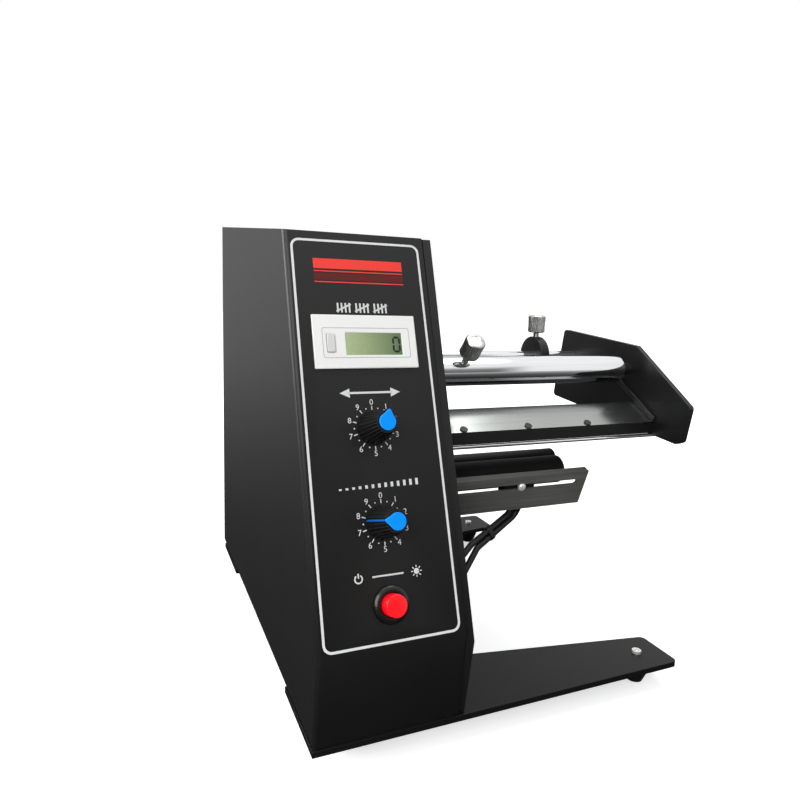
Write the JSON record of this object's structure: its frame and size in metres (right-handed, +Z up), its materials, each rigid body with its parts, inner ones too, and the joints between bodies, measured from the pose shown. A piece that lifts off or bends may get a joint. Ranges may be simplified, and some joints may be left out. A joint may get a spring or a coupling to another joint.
{
  "type": "label dispenser",
  "caption": "Desktop powered label dispenser: a slanted control box with dials, counter and push button beside an open arm of rods, peel plate, rollers and a label sensor.",
  "frame": {"origin": "on the table under the middle of the whole machine", "axes": "+X to the right along the rods, -Y to the operator, +Z up"},
  "size_m": [0.209, 0.2472, 0.237],
  "materials": {
    "cover_paint": "satin dark paint",
    "black_anodised": "black anodised, fine matt",
    "leg_paint": "satin dark paint",
    "foot_rubber": "matt moulded",
    "steel": "zinc-plated steel",
    "black_screws": "black oxide",
    "nickel": "nickel plated, knurled",
    "chrome": "polished chrome",
    "ground_steel": "ground dark steel",
    "mirror_sheet": "polished stainless sheet",
    "roller_rubber": "ground rubber",
    "pinch_black": "smooth",
    "sensor_plastic": "moulded",
    "cable_jacket": "PVC jacket",
    "knob_plastic": "fluted moulding",
    "cap_blue": "bright blue moulding",
    "pot_metal": "pressed can",
    "motor_paint": "black paint",
    "counter_plastic": "light grey moulding",
    "lcd": "green liquid crystal window",
    "key_plastic": "grey moulding",
    "button_black": "gloss moulding",
    "button_red": "translucent red lens",
    "board_green": "solder mask",
    "board_black": "moulded parts",
    "core_steel": "laminated core",
    "coil_tape": "yellow insulating tape",
    "connector_steel": "black paint"
  },
  "bodies": {
    "frame": {"board_components": "board_black", "board_standoffs": "steel", "button_housing": "button_black", "cable_grommet": "foot_rubber", "circuit_board": "board_green", "connector_plate": "connector_steel", "connector_screws": "steel", "counter_case": "counter_plastic", "counter_window": "lcd", "cover": "cover_paint", "drive_motor": "motor_paint", "emitter_cable": "cable_jacket", "floor_plate": "cover_paint", "foot_screws": "steel", "frame_posts": "steel", "front_leg": "leg_paint", "front_shaft": "ground_steel", "fuse_holder": "button_black", "gearbox": "pot_metal", "guide_rod": "chrome", "inlet_pins": "steel", "label_sensor": "sensor_plastic", "length_potentiometer": "pot_metal", "main_plate": "black_anodised", "mains_inlet": "button_black", "peel_bar": "black_anodised", "peel_plate": "mirror_sheet", "peel_plate_screws": "black_screws", "pinch_shaft": "steel", "plate_screws": "steel", "rear_leg": "leg_paint", "rear_rod": "chrome", "rod_nuts": "steel", "rod_screws": "black_screws", "rubber_feet": "foot_rubber", "sensor_bracket": "black_anodised", "sensor_cable": "cable_jacket", "sensor_screw": "steel", "shaft_bearing": "steel", "side_plate": "black_anodised", "side_rail": "black_anodised", "speed_potentiometer": "pot_metal", "transformer_coil": "coil_tape", "transformer_core": "core_steel"},
    "length_dial": {"length_knob": "knob_plastic", "length_knob_cap": "cap_blue", "length_spindle": "steel"},
    "speed_dial": {"speed_knob": "knob_plastic", "speed_knob_cap": "cap_blue", "speed_spindle": "steel"},
    "power_switch": {"power_button": "button_red"},
    "counter_reset": {"reset_key": "key_plastic"},
    "tube": {"front_tube": "chrome"},
    "tube_clamp": {"tube_thumbscrew": "nickel"},
    "label_guide": {"label_disc": "black_anodised"},
    "guide_clamp": {"disc_thumbscrew": "nickel"},
    "drive": {"drive_roller": "roller_rubber", "drive_shaft": "steel"},
    "pinch": {"pinch_roller": "pinch_black"}
  },
  "joints": [
    {"name": "length_turn", "type": "hinge", "parent": "frame", "child": "length_dial", "pos_m": [-0.0713, -0.08869, 0.1418], "axis": [0, -0.9351, 0.3543], "range_deg": [-285, 15]},
    {"name": "speed_turn", "type": "hinge", "parent": "frame", "child": "speed_dial", "pos_m": [-0.0713, -0.10297, 0.10412], "axis": [0, -0.9351, 0.3543], "range_deg": [-20, 280]},
    {"name": "power_press", "type": "slide", "parent": "frame", "child": "power_switch", "axis": [0, 0.9351, -0.3543], "range_m": [0, 0.002], "stiffness_N_per_m": 400},
    {"name": "reset_press", "type": "slide", "parent": "frame", "child": "counter_reset", "axis": [0, 0.9351, -0.3543], "range_m": [0, 0.0006], "stiffness_N_per_m": 600},
    {"name": "tube_turn", "type": "hinge", "parent": "frame", "child": "tube", "pos_m": [0, -0.0509, 0.1605], "axis": [1, 0, 0], "range_deg": [-60, 60]},
    {"name": "tube_screw_turn", "type": "hinge", "parent": "tube", "child": "tube_clamp", "pos_m": [-0.0105, -0.0509, 0.1605], "axis": [0, -0.6691, 0.7431], "range_deg": [0, 180]},
    {"name": "disc_slide", "type": "slide", "parent": "frame", "child": "label_guide", "axis": [1, 0, 0], "range_m": [-0.0935, 0.0235]},
    {"name": "disc_screw_turn", "type": "hinge", "parent": "label_guide", "child": "guide_clamp", "pos_m": [0.0698, 0.0001, 0.1626], "axis": [0, 0, 1], "range_deg": [0, 180]},
    {"name": "drive_spin", "type": "hinge", "parent": "frame", "child": "drive", "pos_m": [0, -0.0569, 0.106], "axis": [1, 0, 0], "continuous": true},
    {"name": "pinch_spin", "type": "hinge", "parent": "frame", "child": "pinch", "pos_m": [0, -0.04409, 0.10919], "axis": [1, 0, 0], "continuous": true}
  ],
  "couplings": [
    {"joint": "pinch_spin", "follows": "drive_spin", "ratio": -1.5}
  ]
}
